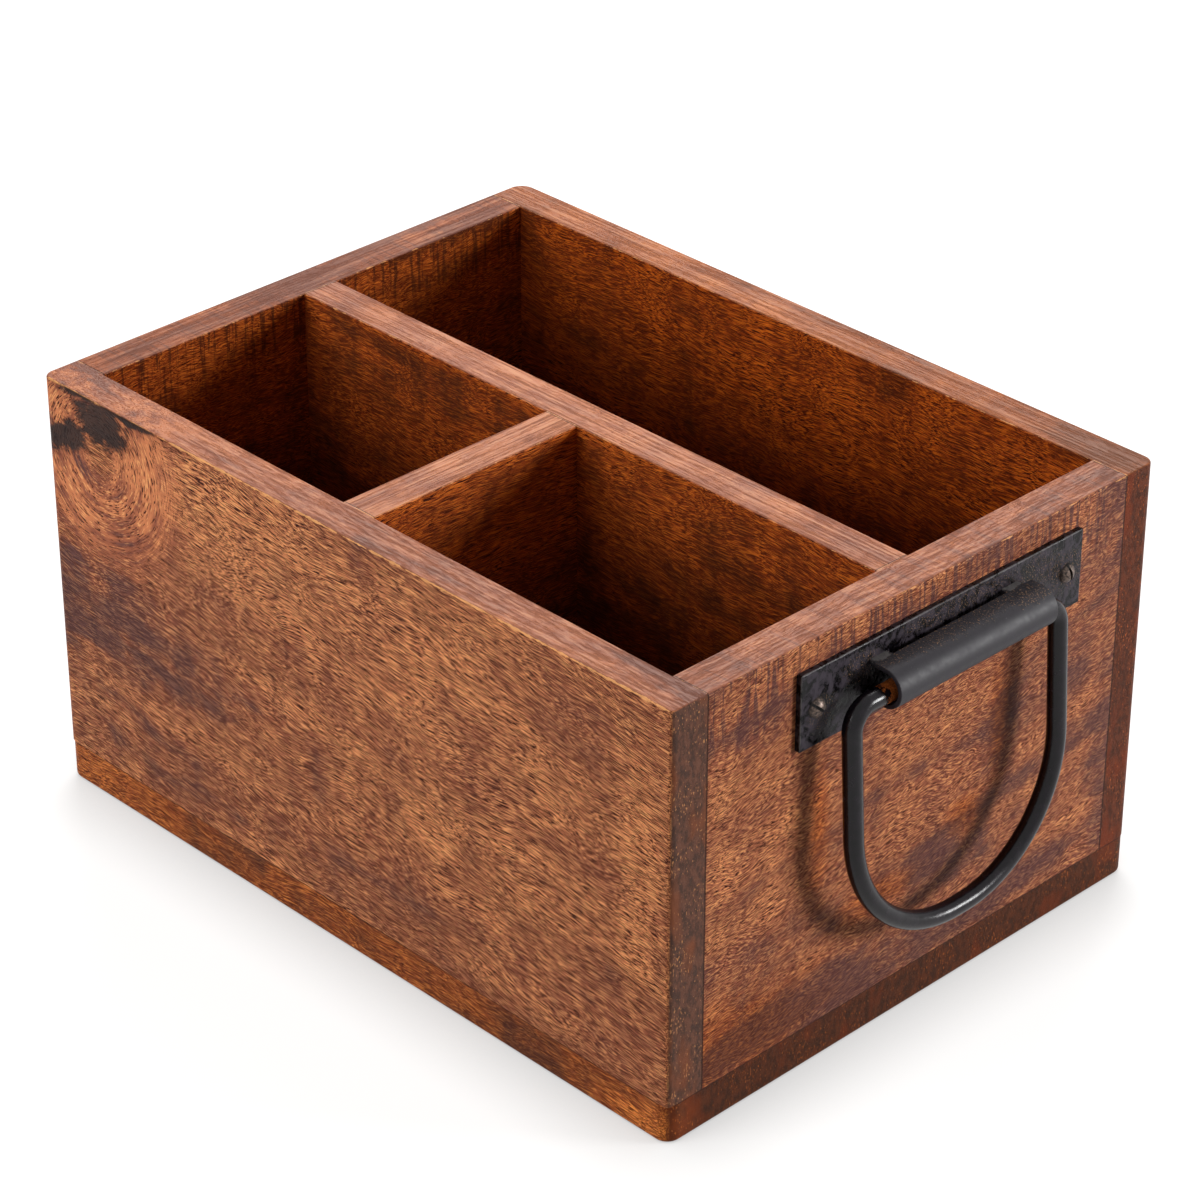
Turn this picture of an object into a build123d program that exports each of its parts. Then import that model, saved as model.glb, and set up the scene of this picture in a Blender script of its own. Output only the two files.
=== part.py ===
from build123d import *
import math
import os

# Storage caddy: an open wooden box in three compartments, with an iron drop handle on each end.
# All sizes are in millimetres. X runs along the box, Y across it and Z up.
# The origin is the middle of the underside. The side with the two small compartments faces -Y.

# Wooden box
box_length = 286.0
box_width = 212.0
box_height = 152.0
wall_thickness = 14.3
base_thickness = 14.3
divider_thickness = 14.3
cross_divider_shift = -5.0  # middle of the cross divider, from the middle of the box towards +X
front_left_corner_radius = 4.0  # upright corners of the walls, each worn to its own radius
front_right_corner_radius = 1.8
back_left_corner_radius = 5.5
back_right_corner_radius = 4.5
base_corner_radius = 5.0  # upright corners of the base board
rim_radius = 0.8  # worn edges round the rim and the compartments
foot_radius = 1.6  # worn bottom edge of the base board

# Dowels in the butt joints between upright boards
dowel_diameter = 8.0
dowel_face_depth = 9.0  # depth of the hole in the board that is met on its face
dowel_grain_depth = 20.0  # depth of the hole in the board that is met on its end
dowels_per_joint = 3
dowel_margin = 28.0  # outer dowels to the lower and upper edge of the wall
dowel_clearance = 0.1  # round the dowel
dowel_end_clearance = 0.5  # at each end of the dowel

# Countersunk wood screws, driven up through the base board
base_screw_length = 35.0
base_screw_diameter = 4.0
base_screw_head_diameter = 8.0
base_screw_head_height = 2.4
base_screw_tip_length = 5.0
base_screw_sink = 0.4  # head below the underside of the base
base_screw_slot_width = 1.1
base_screw_slot_depth = 1.0
base_screws_per_side = 3
base_screws_per_end = 2
base_screws_per_cross_divider = 2
base_screw_inset = 30.0  # outer screws of a long row, from the inside of the end boards
base_screw_end_inset = 46.0  # outer screws of an end row, from the inside of the long sides
base_screw_clearance = 0.1

# Iron plate of each handle, screwed flat to the end board
plate_length = 125.0
plate_height = 26.0
plate_thickness = 2.0
plate_below_rim = 9.0
plate_shift = 7.0  # middle of the plate from the middle of the end board, towards +Y
plate_edge_radius = 0.5

# Round-head slotted screws that hold the plate
plate_screw_head_radius = 3.3
plate_screw_head_height = 2.2
plate_screw_diameter = 3.2
plate_screw_depth = 11.0  # how far the screw goes into the end board
plate_screw_tip_length = 3.0
plate_screw_front_inset = 6.7  # from the -Y end of the plate
plate_screw_back_inset = 7.0  # from the +Y end of the plate
plate_screw_slot_width = 0.9
plate_screw_slot_depth = 1.0
plate_screw_front_angle = -42.0  # direction of the slot in the plate's plane, from +Y
plate_screw_back_angle = -82.0
plate_screw_clearance = 0.15

# Sheet iron sleeve that carries the bail, a strap rolled over the rod
sleeve_length = 70.0
sleeve_radius = 6.7
sleeve_sheet = 1.5
sleeve_leg = 4.3  # flat part behind the rolled front, above and below the rod
sleeve_edge_gap = 2.3  # between the free edges of the sleeve and the plate
sleeve_start = 28.5  # from the -Y end of the plate to the -Y end of the sleeve
sleeve_rim_radius = 0.3

# Tabs of the sleeve, passed through slots in the plate and riveted flush behind it
tab_width = 7.5
tab_front_inset = 0.5  # from the -Y end of the sleeve
tab_back_inset = 4.0  # from the +Y end of the sleeve
tab_clearance = 0.12

# Bail: one rod bent into a D, with its two ends inside the sleeve
rod_diameter = 6.3
bail_span = 91.8  # between the middles of the two legs
bail_drop = 87.2  # from the rod in the sleeve to the rod at the bottom
bail_top_bend = 7.5  # bends beside the sleeve, on the middle of the rod
bail_bottom_bend = 44.0  # bends at the bottom, on the middle of the rod
bail_end_gap = 3.0  # between the two ends of the rod inside the sleeve
bail_end_chamfer = 0.6
bail_rest_lean = 3.5  # degrees at rest, away from the end board
bail_side_gap = 0.4  # from the +Y end of the sleeve to the start of the bend beside it
rod_rest_clearance = 0.2  # under the rod, inside the sleeve

os.makedirs("parts", exist_ok=True)

# Places worked out from the sizes
wall_height = box_height - base_thickness
inner_x = box_length / 2 - wall_thickness
inner_y = box_width / 2 - wall_thickness
end_board_x = box_length / 2 - wall_thickness / 2
side_board_y = box_width / 2 - wall_thickness / 2
divider_front_y = -divider_thickness / 2
divider_back_y = divider_thickness / 2
cross_left_x = cross_divider_shift - divider_thickness / 2
cross_right_x = cross_divider_shift + divider_thickness / 2


def upright_block(x_low, x_high, y_low, y_high):
    """A block as high as the walls, standing on the base board."""
    middle = Pos((x_low + x_high) / 2, (y_low + y_high) / 2, base_thickness + wall_height / 2)
    return middle * Box(x_high - x_low, y_high - y_low, wall_height)


def spread(low, high, count):
    """Evenly spaced places from low to high."""
    if count == 1:
        return [(low + high) / 2]
    return [low + (high - low) * i / (count - 1) for i in range(count)]


# The walls and dividers are sanded after they are joined, so the rim is rounded as one body
carcass = upright_block(-box_length / 2, box_length / 2, -box_width / 2, box_width / 2)
corner_radii = [
    (-1, -1, front_left_corner_radius),
    (1, -1, front_right_corner_radius),
    (-1, 1, back_left_corner_radius),
    (1, 1, back_right_corner_radius),
]
for side_x, side_y, radius in corner_radii:
    corner = Vector(side_x * box_length / 2, side_y * box_width / 2, box_height / 2)
    carcass = fillet(carcass.edges().filter_by(Axis.Z).sort_by_distance(corner)[0], radius)
carcass -= upright_block(-inner_x, cross_left_x, -inner_y, divider_front_y)
carcass -= upright_block(cross_right_x, inner_x, -inner_y, divider_front_y)
carcass -= upright_block(-inner_x, inner_x, divider_back_y, inner_y)
rim = carcass.faces().sort_by(Axis.Z)[-1]
carcass = fillet(rim.edges(), rim_radius)

# The sanded body parts again at the joints. The long sides run past the ends of the end boards
boards = {
    "front_board": upright_block(-box_length / 2, box_length / 2, -box_width / 2, -inner_y),
    "back_board": upright_block(-box_length / 2, box_length / 2, inner_y, box_width / 2),
    "left_end_board": upright_block(-box_length / 2, -inner_x, -inner_y, inner_y),
    "right_end_board": upright_block(inner_x, box_length / 2, -inner_y, inner_y),
    "long_divider": upright_block(-inner_x, inner_x, divider_front_y, divider_back_y),
    "cross_divider": upright_block(cross_left_x, cross_right_x, -inner_y, divider_front_y),
}
for name, block in boards.items():
    boards[name] = carcass & block

# The base board lies under all the walls, with its edges in line with them
base_board = Pos(0, 0, base_thickness / 2) * Box(box_length, box_width, base_thickness)
base_board = fillet(base_board.edges().filter_by(Axis.Z), base_corner_radius)
base_board = fillet(base_board.faces().sort_by(Axis.Z)[0].edges(), foot_radius)

# Dowel joints: name, place of the joint, direction into the board met on its end, both boards
joints = [
    ("front_left_dowels", (-end_board_x, -inner_y), (0, 1), "front_board", "left_end_board"),
    ("front_right_dowels", (end_board_x, -inner_y), (0, 1), "front_board", "right_end_board"),
    ("back_left_dowels", (-end_board_x, inner_y), (0, -1), "back_board", "left_end_board"),
    ("back_right_dowels", (end_board_x, inner_y), (0, -1), "back_board", "right_end_board"),
    ("divider_left_dowels", (-inner_x, 0), (1, 0), "left_end_board", "long_divider"),
    ("divider_right_dowels", (inner_x, 0), (-1, 0), "right_end_board", "long_divider"),
    ("cross_front_dowels", (cross_divider_shift, -inner_y), (0, 1), "front_board", "cross_divider"),
    ("cross_back_dowels", (cross_divider_shift, divider_front_y), (0, -1), "long_divider", "cross_divider"),
]
dowel_levels = spread(base_thickness + dowel_margin, box_height - dowel_margin, dowels_per_joint)


def dowel_place(place, direction, level):
    """Plane at the middle of one dowel, with its normal along the dowel."""
    along = (dowel_grain_depth - dowel_face_depth) / 2
    origin = (place[0] + direction[0] * along, place[1] + direction[1] * along, level)
    return Plane(origin=origin, z_dir=(direction[0], direction[1], 0))


hole_length = dowel_face_depth + dowel_grain_depth
dowel_hole = Cylinder(dowel_diameter / 2 + dowel_clearance, hole_length)
dowel = Cylinder(dowel_diameter / 2, hole_length - 2 * dowel_end_clearance)

dowel_groups = {}
for name, place, direction, face_board, grain_board in joints:
    places = [dowel_place(place, direction, level) for level in dowel_levels]
    for plane in places:
        boards[face_board] -= plane * dowel_hole
        boards[grain_board] -= plane * dowel_hole
    dowel_groups[name] = Compound(children=[plane * dowel for plane in places])


def screw_body(head_radius, rise, shank_radius, length, tip_length):
    """Outline of a countersunk screw turned about +Z, with its head's flat face at Z = 0."""
    outline = Polyline(
        (0, 0),
        (head_radius, 0),
        (shank_radius, rise),
        (shank_radius, length - tip_length),
        (0, length),
        close=True,
    )
    return revolve(Plane.XZ * make_face(outline), Axis.Z)


base_screw = screw_body(
    base_screw_head_diameter / 2,
    base_screw_head_height,
    base_screw_diameter / 2,
    base_screw_length,
    base_screw_tip_length,
)
base_screw -= Box(base_screw_head_diameter, base_screw_slot_width, 2 * base_screw_slot_depth)
base_screw_hole = screw_body(
    base_screw_head_diameter / 2 + base_screw_clearance,
    base_screw_head_height,
    base_screw_diameter / 2 + base_screw_clearance,
    base_screw_length + 2 * base_screw_clearance,
    base_screw_tip_length,
)
base_screw_hole += Pos(0, 0, -base_screw_sink) * Cylinder(
    base_screw_head_diameter / 2 + base_screw_clearance,
    base_screw_sink,
    align=(Align.CENTER, Align.CENTER, Align.MIN),
)

# Rows of base screws, one row up into each upright board
side_row = spread(-inner_x + base_screw_inset, inner_x - base_screw_inset, base_screws_per_side)
end_row = spread(-inner_y + base_screw_end_inset, inner_y - base_screw_end_inset, base_screws_per_end)
cross_pitch = (divider_front_y + inner_y) / (base_screws_per_cross_divider + 1)
cross_row = [-inner_y + cross_pitch * (i + 1) for i in range(base_screws_per_cross_divider)]
screw_rows = {
    "base_screws_front": ("front_board", [(x, -side_board_y) for x in side_row]),
    "base_screws_back": ("back_board", [(x, side_board_y) for x in side_row]),
    "base_screws_left": ("left_end_board", [(-end_board_x, y) for y in end_row]),
    "base_screws_right": ("right_end_board", [(end_board_x, y) for y in end_row]),
    "base_screws_long_divider": ("long_divider", [(x, 0) for x in side_row]),
    "base_screws_cross_divider": ("cross_divider", [(cross_divider_shift, y) for y in cross_row]),
}
screw_groups = {}
for name, (board, row) in screw_rows.items():
    for x, y in row:
        base_board -= Pos(x, y, base_screw_sink) * base_screw_hole
        boards[board] -= Pos(x, y, base_screw_sink) * base_screw_hole
    screw_groups[name] = Compound(children=[Pos(x, y, base_screw_sink) * base_screw for x, y in row])

# Places on the +X end. Each handle is made there once, and mirrored for the -X end
wall_face_x = box_length / 2
plate_front_x = wall_face_x + plate_thickness
plate_low_y = plate_shift - plate_length / 2
plate_high_y = plate_shift + plate_length / 2
plate_middle_z = box_height - plate_below_rim - plate_height / 2
sleeve_x = plate_front_x + sleeve_edge_gap + sleeve_leg
sleeve_low_y = plate_low_y + sleeve_start
sleeve_high_y = sleeve_low_y + sleeve_length
sleeve_bore_radius = sleeve_radius - sleeve_sheet
rod_radius = rod_diameter / 2
rod_z = plate_middle_z - sleeve_bore_radius + rod_radius + rod_rest_clearance
tab_middles = [
    sleeve_low_y + tab_front_inset + tab_width / 2,
    sleeve_high_y - tab_back_inset - tab_width / 2,
]
plate_screws = [
    (plate_low_y + plate_screw_front_inset, plate_screw_front_angle),
    (plate_high_y - plate_screw_back_inset, plate_screw_back_angle),
]


def out_of_wall(x, y, z):
    """Plane square to X, with its normal pointing out of the end board."""
    return Plane(origin=(x, y, z), x_dir=(0, 1, 0), z_dir=(1, 0, 0))


def make_plate():
    """Flat plate with two screw holes and four slots for the tabs of the sleeve."""
    flat = Box(plate_length, plate_height, plate_thickness, align=(Align.CENTER, Align.CENTER, Align.MIN))
    front_edges = flat.faces().sort_by(Axis.Z)[-1].edges()
    corner_edges = flat.edges().filter_by(Axis.Z)
    flat = fillet(list(front_edges) + list(corner_edges), plate_edge_radius)
    plate = out_of_wall(wall_face_x, plate_shift, plate_middle_z) * flat
    screw_hole = Cylinder(plate_screw_diameter / 2 + plate_screw_clearance, 3 * plate_thickness)
    for y, angle in plate_screws:
        plate -= out_of_wall(wall_face_x, y, plate_middle_z) * screw_hole
    slot = Box(tab_width + 2 * tab_clearance, sleeve_sheet + 2 * tab_clearance, 3 * plate_thickness)
    for y in tab_middles:
        for side in (-1, 1):
            z = plate_middle_z + side * (sleeve_radius - sleeve_sheet / 2)
            plate -= out_of_wall(wall_face_x, y, z) * slot
    return plate


def strap_outline(radius):
    """Closed outline of the strap's section: a half round front and two flat legs behind it."""
    half_round = Circle(radius) & Pos(radius / 2, 0) * Rectangle(radius, 2 * radius)
    return half_round + Pos(-sleeve_leg / 2, 0) * Rectangle(sleeve_leg, 2 * radius)


def make_sleeve():
    """Strap rolled over the rod, with two tabs on each of its free edges."""
    section = strap_outline(sleeve_radius) - strap_outline(sleeve_bore_radius)
    across = Plane(origin=(sleeve_x, sleeve_low_y, plate_middle_z), x_dir=(1, 0, 0), z_dir=(0, -1, 0))
    sleeve = extrude(across * section, -sleeve_length)
    mouths = sleeve.faces().filter_by(Axis.Y)
    rims = [edge for face in mouths for edge in face.edges() if edge.geom_type == GeomType.CIRCLE]
    sleeve = fillet(rims, sleeve_rim_radius)
    tab_length = plate_thickness + sleeve_edge_gap
    for y in tab_middles:
        for side in (-1, 1):
            z = plate_middle_z + side * (sleeve_radius - sleeve_sheet / 2)
            tab = Box(tab_length, tab_width, sleeve_sheet)
            sleeve += Pos(wall_face_x + tab_length / 2, y, z) * tab
    return sleeve


def make_bail():
    """Rod swept round the D. It turns about the part of it that lies in the sleeve."""
    high_leg_y = sleeve_high_y + bail_side_gap + bail_top_bend
    low_leg_y = high_leg_y - bail_span
    middle_y = (sleeve_low_y + sleeve_high_y) / 2
    low_z = rod_z - bail_drop
    corners = [
        (sleeve_x, middle_y - bail_end_gap / 2, rod_z),
        (sleeve_x, low_leg_y, rod_z),
        (sleeve_x, low_leg_y, low_z),
        (sleeve_x, high_leg_y, low_z),
        (sleeve_x, high_leg_y, rod_z),
        (sleeve_x, middle_y + bail_end_gap / 2, rod_z),
    ]
    bends = [bail_top_bend, bail_bottom_bend, bail_bottom_bend, bail_top_bend]
    path = FilletPolyline(*corners, radius=bends)
    section = Plane(origin=path @ 0, z_dir=path % 0) * Circle(rod_radius)
    bail = sweep(section, path=path)
    print("bail volume", round(bail.volume, 1), "rod section times length",
          round(math.pi * rod_radius**2 * path.length, 1))
    ends = bail.faces().filter_by(GeomType.PLANE)
    bail = chamfer([edge for face in ends for edge in face.edges()], bail_end_chamfer)
    return bail.rotate(Axis((sleeve_x, 0, rod_z), (0, -1, 0)), bail_rest_lean)


def make_plate_screw(angle):
    """Round-head slotted screw standing on +Z, with the underside of its head at Z = 0."""
    dome_radius = (plate_screw_head_radius**2 + plate_screw_head_height**2) / (2 * plate_screw_head_height)
    dome = Pos(0, 0, plate_screw_head_height - dome_radius) * Sphere(dome_radius)
    above = Cylinder(2 * dome_radius, 2 * dome_radius, align=(Align.CENTER, Align.CENTER, Align.MIN))
    head = dome & above
    slot_z = plate_screw_head_height
    slot = Box(4 * plate_screw_head_radius, plate_screw_slot_width, 2 * plate_screw_slot_depth)
    head -= Pos(0, 0, slot_z) * Rot(0, 0, angle) * slot
    length = plate_thickness + plate_screw_depth
    outline = Polyline(
        (0, 0),
        (plate_screw_diameter / 2, 0),
        (plate_screw_diameter / 2, -(length - plate_screw_tip_length)),
        (0, -length),
        close=True,
    )
    return head + revolve(Plane.XZ * make_face(outline), Axis.Z)


def make_plate_screws():
    """The two screws of one plate."""
    screws = [
        out_of_wall(plate_front_x, y, plate_middle_z) * make_plate_screw(angle)
        for y, angle in plate_screws
    ]
    return Compound(children=screws)


# Pilot holes for the plate screws in both end boards
pilot_length = plate_screw_depth + plate_screw_clearance
pilot = Cylinder(
    plate_screw_diameter / 2 + plate_screw_clearance,
    pilot_length,
    align=(Align.CENTER, Align.CENTER, Align.MAX),
)
for y, angle in plate_screws:
    hole = out_of_wall(wall_face_x, y, plate_middle_z) * pilot
    boards["right_end_board"] -= hole
    boards["left_end_board"] -= mirror(hole, about=Plane.YZ)

nodes = {"base_board": base_board}
nodes.update(boards)
nodes.update(dowel_groups)
nodes.update(screw_groups)
handle = {
    "handle_plate": make_plate(),
    "handle_sleeve": make_sleeve(),
    "plate_screws": make_plate_screws(),
    "bail": make_bail(),
}
for name, piece in handle.items():
    nodes["right_" + name] = piece
    nodes["left_" + name] = mirror(piece, about=Plane.YZ)

for name, piece in nodes.items():
    export_step(piece, "parts/" + name + ".step")
print("nodes", len(nodes), "rod axis height", round(rod_z, 3), "out from the middle", round(sleeve_x, 3))
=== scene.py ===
import math

import bmesh
import bpy
from mathutils import Matrix, Vector


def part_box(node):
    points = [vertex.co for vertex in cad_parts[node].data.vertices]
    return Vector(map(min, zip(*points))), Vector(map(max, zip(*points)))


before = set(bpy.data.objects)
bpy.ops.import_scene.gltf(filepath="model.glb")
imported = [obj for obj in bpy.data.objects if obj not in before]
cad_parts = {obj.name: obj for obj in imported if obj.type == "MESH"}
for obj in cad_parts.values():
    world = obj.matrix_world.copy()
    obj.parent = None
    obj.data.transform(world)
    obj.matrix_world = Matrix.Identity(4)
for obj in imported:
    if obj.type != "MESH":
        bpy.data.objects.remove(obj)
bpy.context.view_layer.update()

# Camera
# It stands at the front right corner, a little above the box, with a long lens. Its values are
# fitted to the edges of the box in the photograph.
mm = 0.001
view_azimuth = math.radians(45.724)
view_elevation = math.radians(30.376)
view_roll = math.radians(0.103)
view_distance = 1.323618
view_target = Vector((0, 0, 76 * mm))
view_right = 3.758 * mm  # the picture's middle is this far to the right of the target
view_up = 7.709 * mm
photo_size = 1200
focal_pixels = 4081.043
sensor_width = 36.0
farthest_seen = 20

forward = Vector((
    -math.sin(view_azimuth) * math.cos(view_elevation),
    math.cos(view_azimuth) * math.cos(view_elevation),
    -math.sin(view_elevation),
))
right = Vector((math.cos(view_azimuth), math.sin(view_azimuth), 0))
up = right.cross(forward)
turn = Matrix.Rotation(-view_roll, 3, forward)
right = turn @ right
up = turn @ up
eye = view_target - forward * view_distance + right * view_right + up * view_up
camera_data = bpy.data.cameras.new("camera")
camera_data.sensor_width = sensor_width
camera_data.lens = focal_pixels * sensor_width / photo_size
camera_data.clip_end = farthest_seen
camera = bpy.data.objects.new("camera", camera_data)
bpy.context.scene.collection.objects.link(camera)
axes = Matrix((right, up, -forward)).transposed()
camera.matrix_world = Matrix.Translation(eye) @ axes.to_4x4()
bpy.context.scene.camera = camera


# Studio light
# A low softbox on the right throws the handle's shadow on the end board. A broad one overhead
# and one on the left fill the rest, in front of a white surround.
class Wiring:
    """Adds nodes to one node tree, so that each line of a finish says one thing."""

    def __init__(self, tree):
        self.tree = tree

    def node(self, kind, **settings):
        node = self.tree.nodes.new("ShaderNode" + kind)
        for name, value in settings.items():
            setattr(node, name, value)
        return node

    def feed(self, value, socket):
        """Links another node's output to a socket, or sets the socket to a plain value."""
        if isinstance(value, bpy.types.NodeSocket):
            self.tree.links.new(value, socket)
        else:
            socket.default_value = value

    def math(self, operation, a, b=0.0, c=0.0):
        node = self.node("Math", operation=operation)
        for value, socket in zip((a, b, c), node.inputs):
            self.feed(value, socket)
        return node.outputs[0]

    def ramp(self, value, low, high, start=0.0, end=1.0, curve="SMOOTHSTEP"):
        """Goes from start to end as value goes from low to high."""
        node = self.node("MapRange", interpolation_type=curve)
        self.feed(value, node.inputs["Value"])
        limits = {"From Min": low, "From Max": high, "To Min": start, "To Max": end}
        for name, limit in limits.items():
            self.feed(limit, node.inputs[name])
        return node.outputs[0]

    def mix(self, share, a, b, blend="MIX"):
        """Colour a with a share of colour b on it, or multiplied by b for the blend MULTIPLY."""
        node = self.node("Mix", data_type="RGBA", blend_type=blend)
        self.feed(share, node.inputs["Factor"])
        color_inputs = [socket for socket in node.inputs if socket.type == "RGBA"]
        for value, socket in zip((a, b), color_inputs):
            self.feed(value, socket)
        return [socket for socket in node.outputs if socket.type == "RGBA"][0]


# Name, place, width and depth, and power
softboxes = [
    ("side_softbox", (1.3, 1.0, 0.42), (0.44, 0.44), 21.5),
    ("top_softbox", (-0.75, 0.85, 1.05), (1.0, 1.0), 20.5),
    ("front_softbox", (-0.45, -1.45, 0.75), (0.9, 0.9), 16.0),
]
lamp_target = Vector((0, 0, 80 * mm))
ambient = 0.18  # the surround's light on the box
room_white = (1, 0.86, 0.66, 1)  # that light has the warmth of the room's walls
white = (1, 1, 1, 1)

bpy.context.scene.view_settings.view_transform = "Standard"
for name, place, size, power in softboxes:
    light = bpy.data.lights.new(name, "AREA")
    light.shape = "RECTANGLE"
    light.size, light.size_y = size
    light.energy = power
    lamp = bpy.data.objects.new(name, light)
    lamp.location = place
    lamp.rotation_euler = (lamp_target - Vector(place)).to_track_quat("-Z", "Y").to_euler()
    bpy.context.scene.collection.objects.link(lamp)

world = bpy.data.worlds.new("surround")
bpy.context.scene.world = world
world.use_nodes = True
wires = Wiring(world.node_tree)
rays = wires.node("LightPath").outputs
seen = wires.math("MAXIMUM", rays["Is Camera Ray"], rays["Is Glossy Ray"])
seen = wires.math("MAXIMUM", seen, rays["Is Transmission Ray"])
background = world.node_tree.nodes["Background"]
wires.feed(wires.ramp(seen, 0, 1, ambient, 1, "LINEAR"), background.inputs["Strength"])
wires.feed(wires.mix(seen, room_white, white), background.inputs["Color"])

# Floor
# A white table top that fades into the surround and keeps the box's soft shadow.
floor_size = 30.0
floor_grey = (0.3, 0.3, 0.3, 1)
floor_lift = 0.87  # light added where the camera or a gloss sees the floor
contact_reach = 30 * mm
contact_share = 0.62  # how much of that light is lost where the box meets the floor
shape = bmesh.new()
bmesh.ops.create_grid(shape, x_segments=1, y_segments=1, size=floor_size / 2)
mesh = bpy.data.meshes.new("floor")
shape.to_mesh(mesh)
shape.free()
floor = bpy.data.objects.new("floor", mesh)
bpy.context.scene.collection.objects.link(floor)

table_white = bpy.data.materials.new("white_table")
table_white.use_nodes = True
wires = Wiring(table_white.node_tree)
wires.tree.nodes.clear()
matt = wires.node("BsdfDiffuse")
wires.feed(floor_grey, matt.inputs["Color"])
contact = wires.node("AmbientOcclusion")
wires.feed(contact_reach, contact.inputs["Distance"])
lift = wires.ramp(contact.outputs["AO"], 0, 1, floor_lift * (1 - contact_share), floor_lift, "LINEAR")
rays = wires.node("LightPath").outputs
seen = wires.math("MAXIMUM", rays["Is Camera Ray"], rays["Is Glossy Ray"])
glow = wires.node("Emission")
wires.feed(wires.math("MULTIPLY", seen, lift), glow.inputs["Strength"])
both = wires.node("AddShader")
wires.feed(matt.outputs[0], both.inputs[0])
wires.feed(glow.outputs[0], both.inputs[1])
wires.feed(both.outputs[0], wires.node("OutputMaterial").inputs["Surface"])
floor.data.materials.append(table_white)


# Base board
# The bottom of the box: a planed board of open-grained brown hardwood, screwed up into the boards
# that stand on it. The whole box was sanded and stained after it was put together.
def shade(red, green, blue):
    """A colour of the screen's own scale, 0 to 255, as the shader reads it."""
    shares = (value / 255 for value in (red, green, blue))
    return tuple(s / 12.92 if s <= 0.04 else ((s + 0.055) / 1.055) ** 2.4 for s in shares) + (1,)


def dress(node, material):
    """Gives a CAD piece its finish."""
    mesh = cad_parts[node].data
    mesh.materials.clear()
    mesh.materials.append(material)


class Finish(Wiring):
    """A new material, drawn in millimetres on the piece's own place."""

    def __init__(self, name):
        self.material = bpy.data.materials.new(name)
        self.material.use_nodes = True
        super().__init__(self.material.node_tree)
        self.shader = self.tree.nodes["Principled BSDF"]
        coordinates = self.node("TexCoord").outputs
        self.normal = coordinates["Normal"]
        self.place = self.scaled(coordinates["Object"], (1 / mm, 1 / mm, 1 / mm))
        self.xyz = self.parts(self.place)

    def vector(self, operation, a, b=(0, 0, 0)):
        node = self.node("VectorMath", operation=operation)
        self.feed(a, node.inputs[0])
        self.feed(b, node.inputs[1])
        return node.outputs["Value" if operation in ("LENGTH", "DOT_PRODUCT") else "Vector"]

    def scaled(self, a, factors):
        return self.vector("MULTIPLY", a, factors)

    def parts(self, a):
        node = self.node("SeparateXYZ")
        self.feed(a, node.inputs[0])
        return tuple(node.outputs)

    def joined(self, x, y, z):
        node = self.node("CombineXYZ")
        for value, socket in zip((x, y, z), node.inputs):
            self.feed(value, socket)
        return node.outputs[0]

    def noise(self, place, size, detail=2.0, roughness=0.5, output="Fac", distortion=0.0):
        """Cloudy pattern between 0 and 1, whose clouds have this size in millimetres."""
        node = self.node("TexNoise")
        self.feed(self.scaled(place, [1 / s for s in size]), node.inputs["Vector"])
        settings = {"Scale": 1.0, "Detail": detail, "Roughness": roughness, "Distortion": distortion}
        for name, value in settings.items():
            self.feed(value, node.inputs[name])
        return node.outputs[output]

    def swayed(self, value, pattern, amount):
        """Value, raised and lowered by a pattern by up to half the amount."""
        return self.math("MULTIPLY_ADD", self.math("SUBTRACT", pattern, 0.5), amount, value)

    def blend(self, share, a, b):
        """Value a with a share of value b in it."""
        rest = self.math("MULTIPLY", a, self.math("SUBTRACT", 1.0, share))
        return self.math("ADD", self.math("MULTIPLY", b, share), rest)

    def facing(self, direction):
        """How squarely the surface faces a direction, from -1 to 1."""
        return self.vector("DOT_PRODUCT", self.normal, direction)

    def patch(self, middle, reach, turn, ragged, soft):
        """1 in the middle of a soft oval patch, 0 outside it. turn leans it in the XZ plane, in degrees."""
        off = self.vector("SUBTRACT", self.place, middle)
        if turn:
            cosine, sine = math.cos(math.radians(turn)), math.sin(math.radians(turn))
            along = self.vector("DOT_PRODUCT", off, (cosine, 0, sine))
            across = self.vector("DOT_PRODUCT", off, (-sine, 0, cosine))
            off = self.joined(along, 0, across)
        away = self.vector("LENGTH", self.vector("DIVIDE", off, reach))
        return self.ramp(self.math("ADD", away, ragged), 1.0 - soft, 1.0, 1.0, 0.0)

    def face_gap(self, node, face):
        """Distance in mm inwards from one face of a piece's box, such as "z+", its top."""
        low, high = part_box(node)
        axis = "xyz".index(face[0])
        if face[1] == "+":
            return self.math("SUBTRACT", high[axis] / mm, self.xyz[axis])
        return self.math("SUBTRACT", self.xyz[axis], low[axis] / mm)

    def nearest_edge(self, node, edges):
        """Distance in mm to the nearest of some edges. "y- z+" is where those two faces meet."""
        nearest = None
        for edge in edges:
            gap = self.math("MAXIMUM", *(self.face_gap(node, face) for face in edge.split()))
            nearest = gap if nearest is None else self.math("MINIMUM", nearest, gap)
        return nearest

    def set_surface(self, color, roughness, specular, height, depth, strength):
        """Feeds the shader. depth is the relief's, in metres."""
        inputs = self.shader.inputs
        self.feed(color, inputs["Base Color"])
        self.feed(roughness, inputs["Roughness"])
        inputs["Specular IOR Level"].default_value = specular
        bump = self.node("Bump")
        for name, value in {"Strength": strength, "Distance": depth, "Height": height}.items():
            self.feed(value, bump.inputs[name])
        self.feed(bump.outputs[0], inputs["Normal"])


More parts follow.
